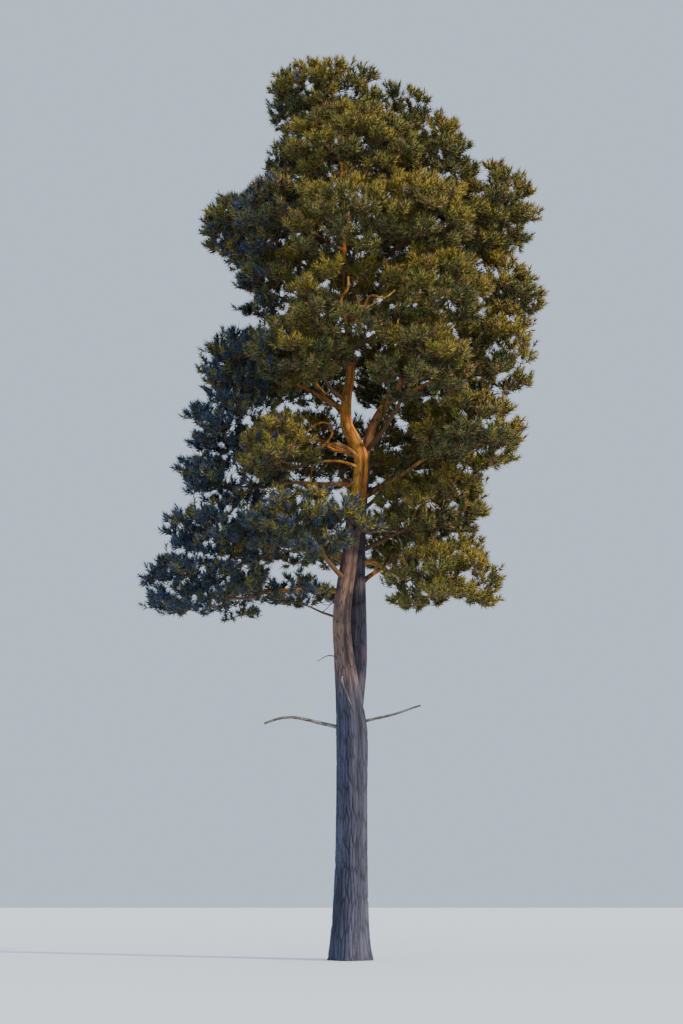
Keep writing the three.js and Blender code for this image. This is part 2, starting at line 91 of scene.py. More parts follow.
# Masses: name, centre, reach, the limb that carries it, the height where it leaves that, the radius of its
# own limb, and its arch and kind where they aren't the usual. A bough mass hangs from a bough, any other has
# one long stem.
USUAL = (0.07, "dense")
MASSES = [
    ("crown_top", (-0.25, -0.15, 17.99), (1.35, 1.15, 0.99), "trunk", 17.75, 0.026, 0, "dense"),
    ("top_left", (-1.08, 0.15, 18.06), (0.82, 1.05, 0.9), "trunk", 16.7, 0.034),
    ("top_right", (1.17, 0.1, 17.76), (1.24, 1.21, 0.96), "trunk", 16.3, 0.036),
    ("top_edge_right", (1.95, 0, 16.66), (0.99, 1.27, 1.14), "trunk", 15.5, 0.042),
    ("top_back", (0.14, 1.35, 17.3), (1.75, 1.21, 1.29), "trunk", 16, 0.04),
    ("upper_left", (-1.45, -0.15, 16.59), (1.02, 1.27, 1.06), "trunk", 15.7, 0.04),
    ("upper_front", (0.07, -1.35, 16.23), (1.57, 1.09, 1.18), "trunk", 15.3, 0.044),
    ("shoulder_right", (3.07, 0.1, 15.48), (1.06, 1.41, 1.21), "trunk", 14.3, 0.052),
    ("wing_left", (-2.22, -0.05, 14.94), (1.03, 1.31, 0.98), "trunk", 13.9, 0.05),
    ("upper_mid_left", (-1.32, -1.25, 14.86), (1.17, 1.14, 1.03), "trunk", 14.6, 0.044),
    ("mid_front", (-0.07, -2.1, 14.38), (1.33, 1.16, 1.11), "trunk", 13.8, 0.048),
    ("mid_front_right", (1.32, -1.8, 14.58), (1.31, 1.27, 1.1), "trunk", 13.5, 0.05),
    ("mid_right", (2.19, -0.1, 14.98), (1.38, 1.39, 1.25), "trunk", 13.7, 0.05),
    ("mid_back_left", (-1.3, 1.5, 15.46), (1.63, 1.52, 1.25), "trunk", 14.1, 0.048),
    ("mid_back_right", (1.59, 1.85, 15.65), (1.7, 1.52, 1.27), "trunk", 13.9, 0.05),
    ("waist_left", (-1.36, -0.45, 13.58), (1.19, 1.39, 0.94), "trunk", 12.7, 0.048),
    ("waist_front", (0.06, -2.05, 12.72), (1.43, 1.19, 1.04), "trunk", 12.1, 0.052),
    ("waist_front_right", (1.72, -1.65, 13.06), (1.2, 1.36, 1.02), "trunk", 12.4, 0.05),
    ("waist_right", (3.08, 0, 13.46), (1.1, 1.41, 1.08), "second_stem", 11.8, 0.068, 0, "dense"),
    ("waist_back", (0.37, 2.25, 13.85), (1.89, 1.49, 1.42), "trunk", 12.3, 0.054),
    ("lower_right", (2.75, -0.5, 11.95), (1.24, 1.38, 1.07), "second_stem", 11.3, 0.062, 0.1, "bough"),
    ("arm_left", (-2.09, -0.05, 11.96), (1.21, 1.31, 1), "trunk", 11.15, 0.06, 0.05, "bough"),
    ("inner_left", (-0.98, -1.45, 11.95), (1.2, 1.21, 0.89), "trunk", 11.3, 0.048),
    ("front_right", (1.4, -1.8, 11.57), (1.18, 1.28, 1), "second_stem", 10.3, 0.054),
    ("back_left", (-1.35, 1.85, 12.4), (1.6, 1.38, 1.12), "trunk", 11, 0.06, 0.07, "bough"),
    ("back_right", (1.7, 1.95, 12.3), (1.72, 1.4, 1.18), "second_stem", 10.5, 0.06, 0.07, "bough"),
    ("shelf_left_high", (-2.33, -0.1, 10.71), (1.28, 1.3, 0.93), "trunk", 10.1, 0.05, 0.12, "bough"),
    ("shelf_left_mid", (-2.43, 0, 9.68), (1.27, 1.3, 0.94), "trunk", 9.5, 0.052, 0.07, "bough"),
    ("sunlit_left", (-1.4, -1.45, 9.88), (0.88, 1.05, 0.85), "trunk", 10, 0.052, 0.34, "bough"),
    ("lobe_right", (2.46, -0.9, 10.31), (1.21, 1.36, 1.02), "second_stem", 9.3, 0.058, 0.05, "bough"),
    ("inner_right", (1.35, 0.45, 10.55), (1.12, 1.28, 1.04), "second_stem", 9, 0.044),
    ("back_mid", (-0.65, 2.3, 10.6), (1.74, 1.33, 1.15), "trunk", 9.3, 0.058, 0.07, "bough"),
    ("shelf_left_low", (-2.65, -0.1, 8.55), (1.3, 1.24, 0.86), "trunk", 7.95, 0.062, 0.16, "bough"),
    ("shelf_front", (-0.76, -1.45, 8.33), (1.48, 1.12, 0.9), "trunk", 7.5, 0.056),
    ("tail_left", (-2.9, 0.2, 7.41), (1.49, 1.27, 1.06), "trunk", 7.25, 0.064, 0.1, "bough"),
    ("tuft_left", (-0.96, 0.15, 7.18), (0.96, 0.9, 0.62), "trunk", 6.7, 0.03, 0.07, "open"),
    ("shelf_right", (1.62, 0.15, 9.02), (1.39, 1.31, 0.92), "second_stem", 8.15, 0.05),
    ("skirt_right", (1.93, -0.35, 7.37), (1.38, 1.31, 0.9), "second_stem", 7.9, 0.066, 0.2, "bough"),
    ("skirt_back_left", (-1.28, 2, 8.68), (1.6, 1.26, 0.97), "trunk", 7.9, 0.06, 0.06, "bough"),
    ("skirt_back_right", (1.43, 2.05, 8.58), (1.6, 1.26, 0.97), "second_stem", 7.4, 0.06, 0.06, "bough"),
    ("back_mid_right", (1.85, 2.25, 10.45), (1.45, 1.3, 1.04), "second_stem", 9.4, 0.054),
]

# Dead limbs: name, the limb that carries it, the height where it leaves that, its end, radius and arch
DEAD_LIMBS = [
    ("dead_limb_left", "trunk", 4.45, (-1.72, -0.15, 4.6), 0.046, 0.14),
    ("dead_limb_right", "second_stem", 4.6, (1.43, 0.05, 4.98), 0.036, 0.04),
    ("dead_snag_right", "second_stem", 8.5, (1.05, -0.25, 8.48), 0.032, 0.1),
]

# Bare limbs by the bend, in the hollow of the crown and low on the trunk: the radius of each at its root and
# at its tip, and places along it
BARE_LIMBS = {
    "hooked_limb": (0.034, 0.014, [
        (0.05, -0.02, 10.2), (-0.3, -0.16, 10.22), (-0.47, -0.2, 10.34), (-0.36, -0.24, 10.58),
        (-0.5, -0.3, 10.78), (-0.8, -0.4, 10.64), (-1.06, -0.5, 10.2),
    ]),
    "level_limb": (0.036, 0.01, [
        (0.2, -0.05, 9.88), (-0.25, -0.3, 9.96), (-0.72, -0.42, 9.86), (-0.8, -0.44, 9.5),
        (-0.84, -0.46, 8.98),
    ]),
    "hollow_limb": (0.042, 0.018, [
        (0, -0.9, 12.35), (-0.1, -1.7, 12.6), (-0.18, -2.2, 12.8), (-0.05, -2.46, 12.94),
        (-0.04, -2.56, 13.16),
    ]),
    "hollow_fork": (0.034, 0.014, [
        (-0.05, -1.3, 12.45), (0.2, -1.9, 12.6), (0.4, -2.35, 12.82), (0.66, -2.6, 12.7),
        (0.88, -2.66, 12.84),
    ]),
    "hollow_twig": (0.024, 0.012, [
        (0.1, -1.7, 12.55), (0.14, -2.2, 12.64), (0.4, -2.55, 12.56), (0.62, -2.68, 12.72),
    ]),
    "front_snag": (0.022, 0.008, [
        (-0.12, -0.2, 5.56), (-0.16, -0.38, 5.44), (-0.04, -0.44, 5.1), (0.07, -0.43, 4.84),
    ]),
    "left_snag": (0.018, 0.006, [
        (-0.1, 0, 5.9), (-0.42, -0.05, 5.98), (-0.66, -0.06, 5.86),
    ]),
}

# Foliage of each kind of mass: clumps per square metre, how far apart they stand, the lowest way out to
# one, how much the side towards the trunk counts, and how far sprigs reach
KINDS = {
    "dense": Values(clumps=8.2, spacing=0.38, lowest=-0.9, inward=0.75, sprigs=0.3),
    "bough": Values(clumps=6.9, spacing=0.41, lowest=-0.8, inward=0.95, sprigs=0.36),
    "open": Values(clumps=6.8, spacing=0.4, lowest=-0.6, inward=1, sprigs=0.32),
}
# Clumps stand a little inside the dome, and a few deep inside it
CLUMP = Values(
    tries=4, inset=0.36, less_below=0.8, shares=(0.2, 0.97), uneven=0.16, deep_share=0.14,
    deep=0.45, rounds=12, edge=0.98, clear=0.06, drawn_in=0.9, inner_side=-0.3,
)
# A branchlet is as thick as its joint and its length let it be
BRANCHLET = Values(
    joints=10, share=0.5, thinnest=0.008, slim=0.006, stouter=0.014, tip=0.006, steps=5,
    sag=0.06, clear=0.012,
)
# Sprigs stand in a small, flattened dome round the way out and up
SPRIG = Values(count=7, lowest=-0.25, flat=0.72, up=0.55, aim=0.55, reach=(0.7, 0.6))
SPRIG_RADII = (0.0065, 0.004)
# Shoots point onward, aside, outward and up, and stay inside a ragged edge
SHOOT = Values(
    count=6, length=0.15, lengths=(0.75, 0.5), places=(0.22, 0.73), end_aside=0.2, onward=0.8,
    aside=0.75, outward=0.25, up=0.8, needles_past=0.05, edge=0.86, ragged=0.2,
    tip_clear=0.03, root_clear=0.01, radius=0.0035,
)
# Pairs of needles stand past a shoot's bare foot, wide open there and closer at its end
NEEDLES = Values(
    pairs=11, length=0.126, lengths=(0.8, 0.35), width=0.0235, parting=0.26, bare=0.12,
    along=0.88, spread=60, closing=42, curve=1.5, uneven=0.12,
)
MOST_FACES = 190000
# How far apart the shelves on the shaded side stand, as a share of their reach
CREASE = {
    "shelf_left_high": 0.16, "shelf_left_mid": 0.16, "shelf_left_low": 0.16, "tail_left": 0.12,
    "arm_left": 0.1,
}
# Slanting lines where needles stop short of a mass's dome, by their shares of x and z and their distance
TRIM = {
    "crown_top": (0.461, 0.887, 16.66),
    "top_right": (0.461, 0.887, 16.66),
    "top_edge_right": (0.849, 0.529, 11.15),
    "upper_left": (-0.863, 0.504, 9.8),
}
NO_TRIM = (0, 1, 99)
TRIM_INSET = 0.3  # of clumps
# Gaps in the foliage by their ends and radius: one lets the low sun reach the bend of the trunk, and two
# make the hollow in the middle of the crown
GAPS = [
    ((0.15, -0.1, 10.45), (3.9, -2.1, 12.95), 0.42),
    ((0.1, -2.3, 12.9), (1.4, -3.25, 13.75), 0.3),
    ((-0.35, -2.8, 12.9), (0.8, -2.85, 12.75), 0.34),
]
# Clumps that close gaps between the limbs, each in its mass
FILLED = [
    ("back_right", (0.5, 2.0, 11.8)), ("back_right", (0.62, 1.8, 11.62)), ("back_right", (0.5, 2.4, 11.9)),
    ("top_edge_right", (1.8, -0.1, 16.85)), ("shelf_right", (0.7, -0.3, 8.95)),
]

# Bark of each limb: vertices and plates round it, how deep fissures are and how much deeper old ones
# are, and its age, from 0 for grey to 1 for orange, with what it gains between two heights
BARKS = {
    "trunk": Values(around=150, plates=32, fissures=(0.003, 0.017), age=0,
                    gains=[(0.5, 4.6, 6.4), (0.5, 8.4, 9.6)]),
    "second_stem": Values(around=96, plates=20, fissures=(0.003, 0.017), age=0,
                          gains=[(0.2, 4.8, 6), (0.6, 8.5, 11.2)]),
    "bough": Values(around=26, plates=9, fissures=(0.003, 0), age=0.72, gains=[]),
    "bare": Values(around=16, plates=6, fissures=(0.0015, 0), age=1, gains=[]),
    "dead": Values(around=22, plates=7, fissures=(0.004, 0), age=0, gains=[]),
}
# Where old bark ends, and the radius below which it's thinner
OLD_BARK = Values(end=(2.5, 7.5), stout=0.25)
# Plates are longer than wide, and finer cracks run over them, closer round the limb and along it
PLATE = Values(longer=8.5, stray=(0.72, 0.8), stagger=0.275, fissure=(0.03, 0.3))
CRACK = Values(closer=(3, 4), width=0.35, depth=0.22)
# Two waves in the rows of plates: width in plates, how often they come, and twist
WANDER = ((0.16, 2.1, 3), (0.1, 4.7, 2))
# The seam under the fork, by its angle round the trunk and the heights between which it deepens; its groove
# is real, and its darkening of the plates to fissure colour is painted shade where the two stems meet
SEAM = Values(angle=1.12, sway=0.1, often=2.2, width=0.17, depth=0.13, heights=(2.2, 4), dark=0.9)

# Bark colours: the fissures, then the darkest and the lightest plates
# The grey of old bark is real; its blue tint and darkness are painted shade on the low trunk and second stem
GREY_BARK = ("#40404f", "#55556a", "#63637c")
BROWN_BARK = ("#5c4840", "#8b6b60", "#a8836f")
ORANGE_BARK = ("#a3561f", "#ec882a", "#ffc64c")
BOUGH_BARK = ("#5f3e24", "#9a6236", "#c58a52")
DEAD_WOOD = ("#57504a", "#948b80", "#c1b8aa")
# Blotches and streaks: how fine, detailed and drawn out upwards they are, their range and their shade
MARKS = [
    (2.2, 5, 0.4, 0.3, 0.7, "#c4c4c8"),
    (9, 3, 0.06, 0.35, 0.6, "#b8b8be"),
]
# Sockets of a mix of colours
MIX_INPUTS, MIX_OUTPUT = (0, 6, 7), 2

# Colours of needles, the four warm ones from the darkest to the lightest. Along with a random tone they are
# partly painted light: the darker go to low, inner shoots as painted shade and the lighter, up to gold, to
# high, outer ones as painted sunlight; blue and slate are painted shade on the shaded side
NEEDLE_COLOURS = [
    ("deep", "#585a39"), ("green", "#737039"), ("olive", "#867a34"), ("gold", "#988537"),
    ("blue", "#404d5e"), ("slate", "#4e555e"), ("bronze", "#866a47"),
]
GOLD, BLUE, BRONZE = 3, 4, 6
# A shoot's tone comes from its clump's and its own draw
TONE = (0.55, 0.45)
# How light a shoot is: lighter the higher and farther out it is as painted light, with painted shade deeper
# in, by its random tone, and less on the shaded side as painted shade
LIGHT = Values(up=0.32, out=0.7, tone=0.8, less=0.46, cool=0.2, steps=4.2)
# A tone times these leaves further draws after the point
SECOND_DRAW, THIRD_DRAW = 97.3, 31.7
BRONZE_ABOVE = 0.86
# The shaded side of the crown, whose blue and slate needles are painted shade: where it ends, its share of
# blue and slate shoots, and how shaded a mass can be
SHADED_EDGE = (-2.9, -0.8)
SHADED_SHARE = 0.8
SHADED_RANGE = {
    "shelf_front": (0.5, 0.75), "tuft_left": (0.8, 1), "tail_left": (0.8, 1), "shelf_left_low": (0.8, 1),
    "shelf_left_mid": (0.7, 1), "sunlit_left": (0, 0.15), "inner_left": (0, 0.4), "wing_left": (0, 0.35),
    "upper_left": (0, 0.2), "top_left": (0, 0.2), "arm_left": (0, 0.75),
}

# How strong the pale surrounding lights and shows, and in which colours
SKY = Values(light=1.14, shown=0.95, light_colour="#c4deff", shown_colour="#d3e2f6")
# Suns: name, energy, spread, colour, tilt and turn
SUNS = [
    ("low_sun", 4.9, 4, (1.0, 0.83, 0.56), 60, 62),
    ("soft_top", 0.9, 80, (0.78, 0.88, 1.0), 8, 0),
]
FLOOR_HALF, FLOOR_HEIGHT = 60, -0.004


# Limbs
def draws(seed):
    """The seeded generator of the part's source, one share of 1 at a time."""
    word = 0xFFFFFFFF
    state = (seed * 2654435761) & word
    while True:
        state = (state + 0x6D2B79F5) & word
        t = ((state ^ (state >> 15)) * (state | 1)) & word
        t ^= (t + (((t ^ (t >> 7)) * (t | 61)) & word)) & word
        yield (t ^ (t >> 14)) / 4294967296


def unit(v):
    """Vectors of length 1, along the last axis."""
    return v / np.maximum(np.linalg.norm(v, axis=-1, keepdims=True), 1e-9)


def smoothstep(low, high, x):
    """0 up to low, 1 from high on, and a smooth rise between."""
    t = np.clip((x - low) / (high - low), 0, 1)
    return t * t * (3 - 2 * t)


def smoothed(stations, steps):
    """A smooth line of steps through stations of x, y, z and radius."""
    rows = np.array(stations, float)
    last = len(rows) - 1
    s = np.arange(steps + 1) / steps * last
    k = np.minimum(s.astype(int), last - 1)
    t = (s - k)[:, None]
    a, b, c, d = (rows[np.clip(k + n, 0, last)] for n in (-1, 0, 1, 2))
    bend = 2 * a - 5 * b + 4 * c - d
    twist = 3 * b - a - 3 * c + d
    line = 0.5 * (2 * b + (c - a) * t + bend * t**2 + twist * t**3)
    line[:, 3] = b[:, 3] + (c[:, 3] - b[:, 3]) * t[:, 0]
    return line


def at_height(line, z):
    """The middle of a line at a height, or its tip where it ends lower."""
    above = np.nonzero(line[1:, 2] >= z)[0]
    if not len(above):
        return line[-1, :3].copy()
    low, high = line[above[0], :3], line[above[0] + 1, :3]
    return low + (high - low) * (z - low[2]) / (high[2] - low[2])


def limb_line(start, end, radius, arch, steps, seed):
    """A limb leaves level, arches, wobbles a little and tapers."""
    draw = draws(seed)
    start, end = np.array(start, float), np.array(end, float)
    span = end - start
    length = np.linalg.norm(span)
    leave, arrive = start + LIMB.leave * span, start + LIMB.arrive * span
    leave[2] = start[2] + LIMB.low * span[2] + arch * length
    arrive[2] = start[2] + LIMB.high * span[2] + arch * length
    phase = 2 * math.pi * next(draw)
    sway, rise = 4 + 3 * next(draw), 3 + 3 * next(draw)
    t = np.linspace(0, 1, steps + 1)
    s, u = t[:, None], 1 - t[:, None]
    at = u**3 * start + 3 * u**2 * s * leave + 3 * u * s**2 * arrive + s**3 * end
    swing = np.sin(math.pi * t) * LIMB.wobble * length
    side = unit(np.array([-span[1], span[0], 0.0]))
    at += side * (swing * np.sin(phase + sway * t))[:, None]
    at[:, 2] += LIMB.lift * swing * np.sin(phase + rise * t)
    return np.column_stack([at, radius * (1 + (LIMB.tip - 1) * t)])


def plant_mass(row, index, carriers):
    """A mass, the line of its stem, which passes its heart, and the bough that it hangs from, if any."""
    name, centre, reach, carrier, from_height, radius, *rest = row
    arch, kind = rest or USUAL
    centre, reach = np.array(centre, float), np.array(reach, float)
    mass = Values(name=name, index=index, centre=centre, reach=reach, kind=kind, bough=None)
    seed = index + 1
    start = at_height(carriers[carrier], from_height)
    heart = centre + np.array([0, 0, STEM.heart * reach[2]])
    inward = (start - heart) * [1, 1, 0]
    if kind == "bough":
        edge = math.hypot(inward[0] / reach[0], inward[1] / reach[1])
        entry = heart + inward * ENTRY / edge
        mass.bough = (start, entry, radius, arch, seed)
        mass.bough_line = limb_line(start, entry, radius, arch, STEPS.bough, seed)
        stem = stem_past(mass.bough_line, heart)
    else:
        stem = limb_line(start, heart, radius, arch, STEPS.stem, seed)
    end = heart - unit(inward) * STEM.onward * reach[0]
    end[2] += STEM.rise * reach[2]
    mass.stem = np.vstack([stem, [*end, STEM_RADII[2] * stem[-1, 3]]])
    return mass


def stem_past(bough, heart):
    """The stem that goes on from a bough's tip to the heart of its mass."""
    tip = bough[-1]
    onward = tip[:3] + unit(tip[:3] - bough[-2, :3]) * STEM.lead
    return np.array([tip, [*onward, STEM_RADII[0] * tip[3]], [*heart, STEM_RADII[1] * tip[3]]])


def dead_lines(carriers, steps):
    """The name and the line of each dead limb."""
    lines = []
    for i, (name, carrier, height, end, radius, arch) in enumerate(DEAD_LIMBS):
        start = at_height(carriers[carrier], height)
        lines.append((name, limb_line(start, end, radius, arch, steps, DEAD_SEED + i)))
    return lines


def flare(angle, z):
    """How much wider the trunk is near the ground, in lobes where roots leave it."""
    swelling = FLARE.spread + FLARE.depth * np.sin(FLARE.lobes * angle + FLARE.turn)
    return 1 + np.exp(-np.maximum(z, 0) / FLARE.height) * swelling


# Space in the crown
def depths(points, masses):
    """How far out in each mass's dome the points lie: 0 at its centre and 1 at its edge."""
    away = points[:, None] - np.array([m.centre for m in masses])
    reach = np.array([m.reach for m in masses])
    up = away[..., 2] / np.where(away[..., 2] > 0, 1, DOME.under)
    flat = away[..., :2] / reach[:, :2]
    return np.sqrt((flat**2).sum(-1) + (up / reach[:, 2]) ** 2)


def in_own_space(mass, points, crown, edge=1.0):
    """Whether points lie inside a mass's dome and nearer its middle than any other's."""
    depth = depths(points, crown.masses)
    own = depth[:, mass.index].copy()
    depth[:, mass.index] = np.inf
    return (own <= edge) & (depth.min(1) > own + DOME.margin)


def stretches_of(lines):
    """Every straight stretch of the limbs as owner, start, span, radius and taper."""
    rows = []
    for owner, line in lines:
        for a, b in zip(line[:-1], line[1:]):
            rows.append((owner, a[:3], b[:3] - a[:3], a[3], b[3] - a[3]))
    return rows


def clear_of_limbs(points, margin, mass, crown):
    """Whether points keep a distance from every limb but their mass's own stem."""
    near = [row for row in crown.stretches if row[0] != mass.name]
    at, span = (np.array([row[n] for row in near]) for n in (1, 2))
    radius, taper = (np.array([row[n] for row in near]) for n in (3, 4))
    away = points[:, None] - at
    t = np.clip((away * span).sum(-1) / (span**2).sum(-1), 0, 1)
    gap = np.linalg.norm(away - span * t[..., None], axis=-1)
    return (gap > radius + taper * t + margin).all(1)


def past_trim(mass, points, inset=0):
    """How far points stand past the line that a mass's needles are trimmed to, as steps in x and z."""
    *way, limit = TRIM.get(mass.name, NO_TRIM)
    return np.maximum(points[:, [0, 2]] @ way - limit + inset, 0)[:, None] * way


def plan_crown(carriers):
    """The masses, each stretch of limb or gap that foliage keeps clear of, and the clumps so far."""
    masses = [plant_mass(row, i, carriers) for i, row in enumerate(MASSES)]
    lines = list(carriers.items()) + [(mass.name, mass.stem) for mass in masses]
    lines += [(mass.name + "_bough", mass.bough_line) for mass in masses if mass.bough]
    lines += dead_lines(carriers, STEPS.dead)
    lines += [("gap", np.array([[*low, radius], [*high, radius]])) for low, high, radius in GAPS]
    return Values(masses=masses, stretches=stretches_of(lines), clumps=[])


# The rule that a mass grows by
# Points are spread in its dome by the golden angle. Each gets a branchlet from the nearest joint that
# can reach it. The rule is repeated there in small domes: a branchlet carries sprigs, and a sprig
# carries shoots.
def joints_along(mass):
    """Points along the part of a stem that lies well inside its mass."""
    joints = []
    for a, b in zip(mass.stem[:-1], mass.stem[1:]):
        count = max(1, math.ceil(np.linalg.norm(b[:3] - a[:3]) / STEM.spacing))
        joints += [a + (b - a) * (k + 1) / count for k in range(count)]
    joints = np.array(joints)
    depth = depths(joints[:, :3], [mass])[:, 0]
    return joints[depth < STEM.within]


def dome_directions(count, rng, lowest):
    """Directions that are spread over a dome by the golden angle, from its top down."""
    i = np.arange(count)
    height = 1 - (i + 0.5) / count * (1 - lowest)
    turn = i * GOLDEN_ANGLE + TURN * rng.random() + 0.5 * rng.random(count)
    ring = np.sqrt(1 - height**2)
    return np.column_stack([ring * np.cos(turn), ring * np.sin(turn), height])


def varied(bounds, rng, size):
    """Random shares from a least one up, by no more than a range."""
    least, more = bounds
    return least + more * rng.random(size)


def bent(start, end, radii, steps, sag):
    """A twig's line, which hangs a little between its ends."""
    t = np.linspace(0, 1, steps + 1)[:, None]
    at = start + (end - start) * t
    at[:, 2] -= (sag * np.sin(math.pi * t))[:, 0]
    return np.column_stack([at, radii[0] + (radii[1] - radii[0]) * t[:, 0]])


def shares_out(out, rng):
    """How much of the way out to the dome each clump stands at."""
    size = np.linalg.norm(out, axis=1)
    inset = CLUMP.inset * (1 + CLUMP.less_below * np.minimum(out[:, 2] / size, 0))
    share = np.clip(1 - inset / size, *CLUMP.shares) * (1 - CLUMP.uneven * rng.random(len(out)))
    share[rng.random(len(out)) < CLUMP.deep_share] *= CLUMP.deep
    return share


def tried_places(mass, crown, rng):
    """Where clumps may stand in a mass, drawn in until they lie in its own space, and their ways out."""
    kind, reach = KINDS[mass.kind], mass.reach
    area = reach[0] * reach[1] + reach[2] * (reach[0] + reach[1])
    tries = CLUMP.tries * round(area * kind.clumps)
    out = dome_directions(tries, rng, kind.lowest) * reach
    out[:, 2] *= np.where(out[:, 2] < 0, DOME.under, 1)
    share = shares_out(out, rng)
    for _ in range(CLUMP.rounds):
        places = mass.centre + out * share[:, None]
        outside = ~in_own_space(mass, places, crown, CLUMP.edge)
        outside |= ~clear_of_limbs(places, CLUMP.clear, mass, crown)
        share[outside] *= CLUMP.drawn_in
    return places[~outside], out[~outside]


def clump_places(mass, crown, rng):
    """Where a mass's clumps stand and the way each faces: the places farthest apart, and filled ones."""
    kind = KINDS[mass.kind]
    places, out = tried_places(mass, crown, rng)
    places[:, [0, 2]] -= past_trim(mass, places, TRIM_INSET)
    inward = (out[:, :2] * mass.centre[:2]).sum(1) < CLUMP.inner_side
    weight = np.where(inward, kind.inward, 1)
    chosen = farthest_apart(places, weight, crown.clumps, kind.spacing)
    crown.clumps += [places[i] for i in chosen]
    filled = np.array([place for name, place in FILLED if name == mass.name]).reshape(-1, 3)
    return np.vstack([places[chosen], filled]), unit(np.vstack([out[chosen], filled - mass.centre]))


def farthest_apart(places, weight, others, spacing):
    """Places picked one by one, each the farthest from those before it, down to a spacing."""
    nearest = np.full(len(places), 2 * spacing)
    for other in others:
        nearest = np.minimum(nearest, np.linalg.norm(places - other, axis=1))
    chosen = []
    while (nearest * weight).max() > spacing:
        chosen.append(int(np.argmax(nearest * weight)))
        nearest = np.minimum(nearest, np.linalg.norm(places - places[chosen[-1]], axis=1))
    return chosen


def branchlet(mass, joints, place, crown):
    """A bent branchlet from the nearest joint that can reach a clump, or None."""
    gaps = np.linalg.norm(joints[:, :3] - place, axis=1)
    for joint in joints[np.argsort(gaps)[:BRANCHLET.joints]]:
        length = np.linalg.norm(place - joint[:3])
        thickest = BRANCHLET.slim + BRANCHLET.stouter * length
        radius = float(np.clip(BRANCHLET.share * joint[3], BRANCHLET.thinnest, thickest))
        radii = (radius, BRANCHLET.tip)
        line = bent(joint[:3], place, radii, BRANCHLET.steps, BRANCHLET.sag * length)
        inner = line[2:, :3]
        own = in_own_space(mass, inner, crown).all()
        if own and clear_of_limbs(inner, BRANCHLET.clear, mass, crown).all():
            return line
    return None


def grow(mass, crown):
    """The branchlets, sprigs and shoots of a mass. A shoot is its root, direction, length and tone."""
    rng = np.random.default_rng(SEEDS.mass + mass.index)
    joints = joints_along(mass)
    branchlets, sprigs, shoots = [], [], []
    for place, outward in zip(*clump_places(mass, crown, rng)):
        line = branchlet(mass, joints, place, crown)
        if line is None:
            continue
        tone = rng.random()
        branchlets.append(line)
        joints = np.vstack([joints, line[3:5]])
        for sprig in clump_sprigs(line, outward, KINDS[mass.kind].sprigs, rng):
            made = sprig_shoots(mass, sprig, outward, tone, crown, rng)
            if len(made):
                sprigs.append(sprig)
                shoots.append(made)
    return branchlets, sprigs, np.vstack(shoots)


def clump_sprigs(line, outward, span, rng):
    """Sprigs that leave the end of a branchlet in a small dome round the way out and up."""
    base = line[-1, :3]
    aim = unit(outward + [0, 0, SPRIG.up])
    ways = dome_directions(SPRIG.count, rng, SPRIG.lowest) * [1, 1, SPRIG.flat]
    ways = unit(ways + SPRIG.aim * aim)
    reach = span * varied(SPRIG.reach, rng, SPRIG.count)
    roots = line[-1 - rng.integers(0, 2, SPRIG.count), :3]
    ends = base + ways * reach[:, None]
    return [bent(a, b, SPRIG_RADII, 1, 0) for a, b in zip(roots, ends)]


def sprig_shoots(mass, sprig, outward, tone, crown, rng):
    """The shoots along a sprig that have room."""
    count, span = SHOOT.count, sprig[-1, :3] - sprig[0, :3]
    t = np.append(varied(SHOOT.places, rng, count - 1), 1.0)[:, None]
    roots = sprig[0, :3] + span * t
    aside = unit(rng.normal(size=(count, 3)))
    aside[-1] *= SHOOT.end_aside
    ways = SHOOT.onward * unit(span) + SHOOT.aside * aside + SHOOT.outward * outward
    ways = unit(ways + [0, 0, SHOOT.up])
    length = SHOOT.length * varied(SHOOT.lengths, rng, count)
    tips = roots + ways * (length + SHOOT.needles_past)[:, None]
    kept = has_room(mass, roots, tips, crown, rng)
    tones = TONE[0] * tone + TONE[1] * rng.random(count)
    return np.column_stack([roots, ways, length, tones])[kept]


def has_room(mass, roots, tips, crown, rng):
    """Whether shoots end inside the ragged edge, creases and trims, and are clear of limbs."""
    depth = np.sort(depths(tips, crown.masses), 1)
    kept = depth[:, 0] < SHOOT.edge + SHOOT.ragged * rng.random(len(tips))
    kept &= depth[:, 1] - depth[:, 0] > CREASE.get(mass.name, -1)
    kept &= ~past_trim(mass, tips).any(1)
    kept &= clear_of_limbs(tips, SHOOT.tip_clear, mass, crown)
    return kept & clear_of_limbs(roots, SHOOT.root_clear, mass, crown)


# Objects and meshes from arrays
def placed(name, data):
    """An object in the scene."""
    thing = bpy.data.objects.new(name, data)
    bpy.context.scene.collection.objects.link(thing)
    return thing


def mesh_object(name, verts, faces, material, smooth=False, values=None):
    """An object of triangles or quads, with the named values of each vertex."""
    mesh = bpy.data.meshes.new(name)
    count, sides = faces.shape
    mesh.vertices.add(len(verts))
    mesh.vertices.foreach_set("co", verts.astype(np.float32).ravel())
    mesh.loops.add(count * sides)
    mesh.loops.foreach_set("vertex_index", faces.astype(np.int32).ravel())
    mesh.polygons.add(count)
    mesh.polygons.foreach_set("loop_start", np.arange(0, count * sides, sides, dtype=np.int32))
    mesh.update(calc_edges=True)
    if smooth:
        mesh.shade_smooth()
    for key, value in (values or {}).items():
        layer = mesh.attributes.new(key, "FLOAT", "POINT")
        layer.data.foreach_set("value", value.astype(np.float32))
    mesh.materials.append(material)
    piece = placed(name, mesh)
    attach(piece, "root")
    return piece


def square_to(ways, steep):
    """Two directions square to each way and to each other, the first level unless the way is steep."""
    across = unit(np.cross(ways, np.where(steep, [1.0, 0, 0], [0, 0, 1.0])))
    return across, np.cross(across, ways)


def ring_quads(corner):
    """Quads between rings of corners, ring after ring."""
    a, b = corner[..., :-1, :], corner[..., 1:, :]
    return np.stack([a, b, np.roll(b, -1, -1), np.roll(a, -1, -1)], -1).reshape(-1, 4)


